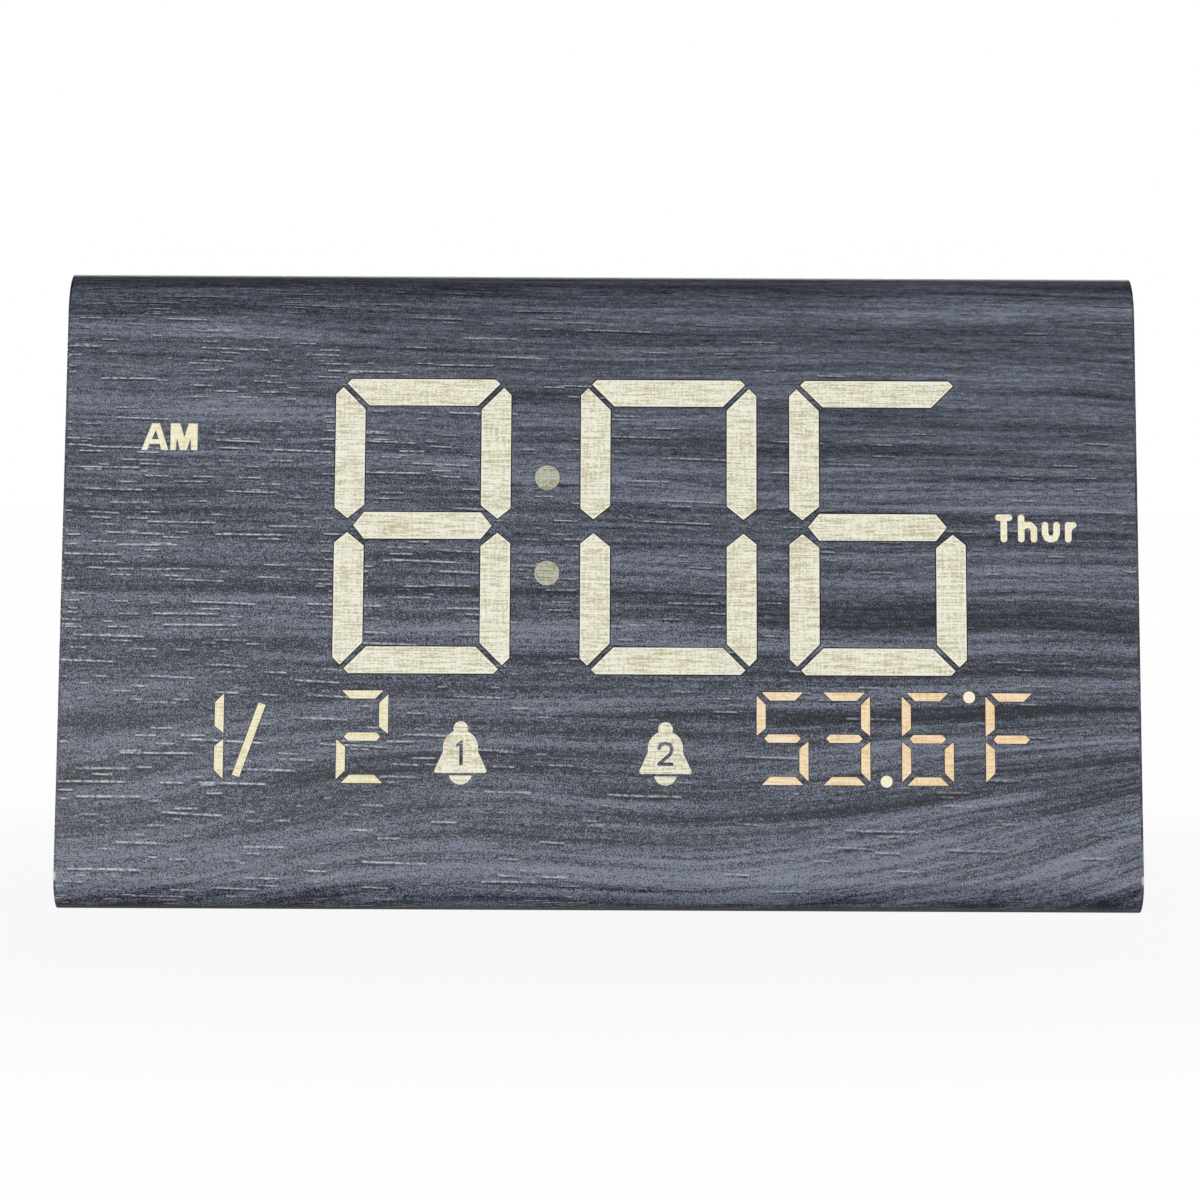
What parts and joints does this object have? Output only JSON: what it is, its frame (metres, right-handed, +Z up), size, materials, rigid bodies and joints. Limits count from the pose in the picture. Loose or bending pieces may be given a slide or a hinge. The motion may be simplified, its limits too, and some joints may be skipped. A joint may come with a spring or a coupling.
{
  "type": "digital led desk clock",
  "caption": "Wedge-shaped digital desk clock in wood-grain foil, with lit segments for time, date, alarms and temperature, rear keys, snooze bar and battery door.",
  "frame": {"origin": "on the surface it stands on, under the middle of the object's box", "axes": "+Z up, the display looks towards -Y, +X to the right of someone who reads it"},
  "size_m": [0.196, 0.0552, 0.1163],
  "materials": {
    "veneer_foil": "dark slate wood-grain foil, satin",
    "core_board": "raw fibre board",
    "foot_rubber": "matt black rubber",
    "lamp_large": "milky diffuser, lit warm white",
    "lamp_small": "milky diffuser, lit warm white",
    "lamp_colon": "milky diffuser, half lit",
    "lamp_dark": "milky diffuser, unlit",
    "mask_black": "black moulded plastic",
    "cover_black": "fine-textured black moulded plastic",
    "board_green": "green solder mask",
    "chip_black": "black moulded housings",
    "led_white": "small white lamps",
    "steel": "bright plated steel",
    "key_black": "satin black moulded keys",
    "cell_jacket": "plain blue jacket with bright ends",
    "speaker_paper": "black cone and steel magnet",
    "sensor_epoxy": "black epoxy bead",
    "wire_grey": "grey cable jacket"
  },
  "bodies": {
    "case": {"veneer_wrap": "veneer_foil", "end_foils": "veneer_foil", "front_board": "core_board", "top_board": "core_board", "bottom_board": "core_board", "left_end_panel": "core_board", "right_end_panel": "core_board", "rubber_feet": "foot_rubber", "hour_digit": "lamp_large", "minute_tens_digit": "lamp_large", "minute_units_digit": "lamp_large", "month_digit": "lamp_small", "date_slash": "lamp_small", "day_digit": "lamp_small", "temperature_tens": "lamp_small", "temperature_units": "lamp_small", "temperature_tenths": "lamp_small", "temperature_dots": "lamp_small", "temperature_letter": "lamp_small", "am_indicator": "lamp_small", "weekday_indicator": "lamp_small", "alarm_one_bell": "lamp_small", "alarm_two_bell": "lamp_small", "colon_dots": "lamp_colon", "unlit_segments": "lamp_dark", "display_mask": "mask_black", "rear_cover": "cover_black", "battery_tray": "cover_black", "led_board": "board_green", "control_board": "board_green", "power_board": "board_green", "snooze_board": "board_green", "control_chips": "chip_black", "button_switches": "chip_black", "snooze_switch": "chip_black", "volume_switch": "chip_black", "dimmer_pot": "chip_black", "power_jack": "chip_black", "port_tongue": "chip_black", "segment_leds": "led_white", "cover_screws": "steel", "board_fixings": "steel", "charging_port": "steel", "battery_contacts": "steel", "jack_pin": "steel", "backup_cells": "cell_jacket", "speaker": "speaker_paper", "temperature_sensor": "sensor_epoxy", "ribbon_cable": "wire_grey", "inner_leads": "wire_grey"},
    "set_button": {"set_button": "key_black"},
    "up_button": {"up_button": "key_black"},
    "down_button": {"down_button": "key_black"},
    "alarm_one_button": {"alarm_one_button": "key_black"},
    "alarm_two_button": {"alarm_two_button": "key_black"},
    "light_button": {"light_button": "key_black"},
    "snooze_bar": {"snooze_bar": "key_black"},
    "dimmer_wheel": {"dimmer_wheel": "key_black"},
    "volume_knob": {"volume_knob": "key_black"},
    "battery_door": {"battery_door": "cover_black"}
  },
  "joints": [
    {"name": "set_button_press", "type": "slide", "parent": "case", "child": "set_button", "axis": [0, -0.9962, -0.0872], "range_m": [0, 0.0006], "stiffness_N_per_m": 2500, "springref_m": -0.0001},
    {"name": "up_button_press", "type": "slide", "parent": "case", "child": "up_button", "axis": [0, -0.9962, -0.0872], "range_m": [0, 0.0006], "stiffness_N_per_m": 2500, "springref_m": -0.0001},
    {"name": "down_button_press", "type": "slide", "parent": "case", "child": "down_button", "axis": [0, -0.9962, -0.0872], "range_m": [0, 0.0006], "stiffness_N_per_m": 2500, "springref_m": -0.0001},
    {"name": "alarm_one_button_press", "type": "slide", "parent": "case", "child": "alarm_one_button", "axis": [0, -0.9962, -0.0872], "range_m": [0, 0.0006], "stiffness_N_per_m": 2500, "springref_m": -0.0001},
    {"name": "alarm_two_button_press", "type": "slide", "parent": "case", "child": "alarm_two_button", "axis": [0, -0.9962, -0.0872], "range_m": [0, 0.0006], "stiffness_N_per_m": 2500, "springref_m": -0.0001},
    {"name": "light_button_press", "type": "slide", "parent": "case", "child": "light_button", "axis": [0, -0.9962, -0.0872], "range_m": [0, 0.0006], "stiffness_N_per_m": 2500, "springref_m": -0.0001},
    {"name": "snooze_bar_press", "type": "slide", "parent": "case", "child": "snooze_bar", "axis": [0, -0.1045, -0.9945], "range_m": [0, 0.0006], "stiffness_N_per_m": 3000, "springref_m": -0.0001},
    {"name": "dimmer_wheel_turn", "type": "hinge", "parent": "case", "child": "dimmer_wheel", "pos_m": [-0.06203, 0.01289, 0.0835], "axis": [1, 0, 0], "range_deg": [0, 260]},
    {"name": "volume_knob_slide", "type": "slide", "parent": "case", "child": "volume_knob", "axis": [-1, 0, 0], "range_m": [0, 0.003]},
    {"name": "battery_door_hinge", "type": "hinge", "parent": "case", "child": "battery_door", "pos_m": [0, 0.02306, 0.01775], "axis": [-1, 0, 0], "range_deg": [0, 85]}
  ]
}
